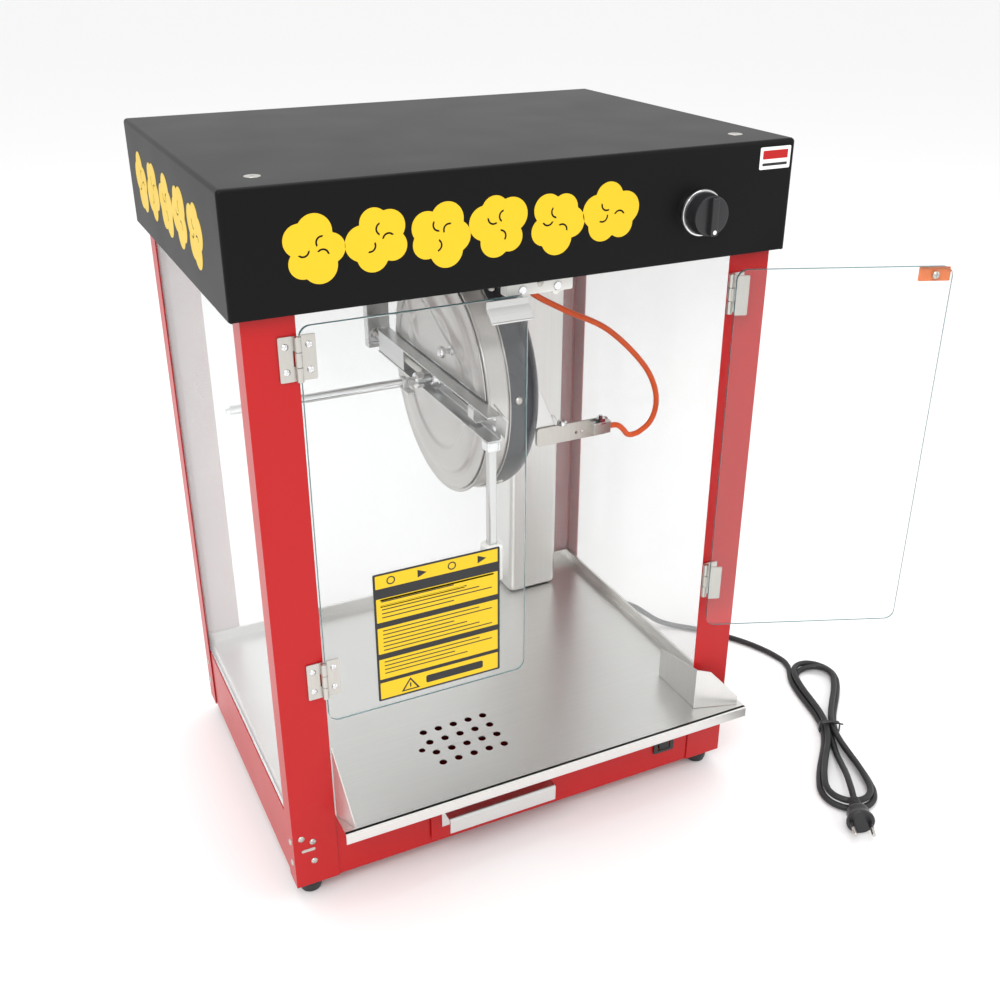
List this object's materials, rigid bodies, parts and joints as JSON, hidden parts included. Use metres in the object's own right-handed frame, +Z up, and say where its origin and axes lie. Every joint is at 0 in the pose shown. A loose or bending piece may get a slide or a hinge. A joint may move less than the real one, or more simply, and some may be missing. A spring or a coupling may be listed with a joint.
{
  "type": "popcorn maker",
  "caption": "Counter-top electric popcorn maker with a tipping kettle, glass doors, a crumb drawer and a mains lead.",
  "frame": {"origin": "on the floor under the middle of the object, its free cord left out, with the right door open as stored", "axes": "+Z up, the front faces -Y, +X to the right of someone facing it"},
  "size_m": [0.7428, 0.5583, 0.7],
  "materials": {
    "red_powder_coat": "smooth gloss powder coat",
    "black_powder_coat": "satin powder coat",
    "stainless_sheet": "brushed",
    "spun_steel": "spun and polished",
    "bright_steel": "polished",
    "nickel_plate": "plated",
    "clear_glass": "clear float glass",
    "black_rubber": "matt",
    "black_plastic": "satin",
    "white_plastic": "matt",
    "slate_enamel": "heat-proof enamel",
    "heater_alloy": "cast",
    "orange_silicone": "braided heat-proof sleeve",
    "orange_paint": "gloss"
  },
  "bodies": {
    "cabinet": {"base_shell": "red_powder_coat", "post_front_left": "red_powder_coat", "post_front_right": "red_powder_coat", "post_rear_left": "red_powder_coat", "post_rear_right": "red_powder_coat", "foot_front_left": "black_rubber", "foot_front_right": "black_rubber", "foot_rear_left": "black_rubber", "foot_rear_right": "black_rubber", "roof_cap": "black_powder_coat", "ceiling_panel": "stainless_sheet", "pane_left": "clear_glass", "pane_right": "clear_glass", "pane_rear": "clear_glass", "floor_tray": "stainless_sheet", "tray_wing_left": "stainless_sheet", "tray_wing_right": "stainless_sheet", "wire_duct": "stainless_sheet", "hinge_post_lower_left": "nickel_plate", "hinge_post_lower_right": "nickel_plate", "hinge_post_upper_left": "nickel_plate", "hinge_post_upper_right": "nickel_plate", "magnetic_catch": "white_plastic", "switch_housing": "orange_paint", "thermostat": "white_plastic", "gear_motor": "nickel_plate", "lamp_holder": "bright_steel", "lamp_glass": "clear_glass", "ceiling_gland": "black_plastic", "kettle_hanger": "stainless_sheet", "pivot_pin": "nickel_plate", "kettle_lead": "orange_silicone", "mains_strain_relief": "black_plastic", "mains_cord": "black_rubber", "cord_hank": "black_rubber", "mains_plug": "black_plastic"},
    "left_door": {"door_left": "clear_glass", "door_pull": "bright_steel", "hinge_door_lower_left": "nickel_plate", "hinge_door_upper_left": "nickel_plate"},
    "right_door": {"door_right": "clear_glass", "catch_plate": "orange_paint", "hinge_door_lower_right": "nickel_plate", "hinge_door_upper_right": "nickel_plate"},
    "kettle": {"kettle_pot": "spun_steel", "kettle_base_cover": "slate_enamel", "heater_plate": "heater_alloy", "kettle_bridge": "spun_steel", "tilt_handle": "spun_steel", "handle_grip": "white_plastic", "terminal_cover": "stainless_sheet", "lead_clamp_arm": "nickel_plate"},
    "upper_lid": {"lid_upper": "spun_steel"},
    "lower_lid": {"lid_lower": "spun_steel"},
    "stirrer": {"stirrer": "bright_steel"},
    "drive_dog": {"drive_dog": "nickel_plate"},
    "drawer": {"crumb_drawer": "red_powder_coat", "drawer_pull": "bright_steel"},
    "knob": {"temperature_knob": "black_plastic"},
    "rocker": {"rocker": "black_plastic"}
  },
  "joints": [
    {"name": "left_door_swing", "type": "hinge", "parent": "cabinet", "child": "left_door", "pos_m": [-0.27453, -0.14486, 0.4], "axis": [0, 0, -1], "range_deg": [0, 168]},
    {"name": "right_door_swing", "type": "hinge", "parent": "cabinet", "child": "right_door", "pos_m": [0.13907, -0.14486, 0.4], "axis": [0, 0, 1], "range_deg": [-158, 10]},
    {"name": "kettle_tip", "type": "hinge", "parent": "cabinet", "child": "kettle", "pos_m": [-0.08773, 0.03964, 0.455], "axis": [0, 1, 0], "range_deg": [0, 90], "deforming": ["kettle_lead"]},
    {"name": "upper_lid_lift", "type": "hinge", "parent": "kettle", "child": "upper_lid", "pos_m": [-0.08103, 0.03964, 0.4696], "axis": [0, -1, 0], "range_deg": [0, 80]},
    {"name": "lower_lid_lift", "type": "hinge", "parent": "kettle", "child": "lower_lid", "pos_m": [-0.08103, 0.03964, 0.4404], "axis": [0, 1, 0], "range_deg": [0, 80]},
    {"name": "stirrer_spin", "type": "hinge", "parent": "kettle", "child": "stirrer", "pos_m": [-0.08773, 0.03964, 0.455], "axis": [-1, 0, 0], "continuous": true},
    {"name": "drive_dog_spin", "type": "hinge", "parent": "cabinet", "child": "drive_dog", "pos_m": [-0.08773, 0.03964, 0.6812], "axis": [0, 0, 1], "continuous": true},
    {"name": "drawer_slide", "type": "slide", "parent": "cabinet", "child": "drawer", "axis": [0, -1, 0], "range_m": [0, 0.12]},
    {"name": "knob_turn", "type": "hinge", "parent": "cabinet", "child": "knob", "pos_m": [0.09427, -0.15036, 0.643], "axis": [0, -1, 0], "range_deg": [-270, 0]},
    {"name": "rocker_tilt", "type": "hinge", "parent": "cabinet", "child": "rocker", "pos_m": [0.10627, -0.13666, 0.052], "axis": [1, 0, 0], "range_deg": [0, 14]}
  ]
}
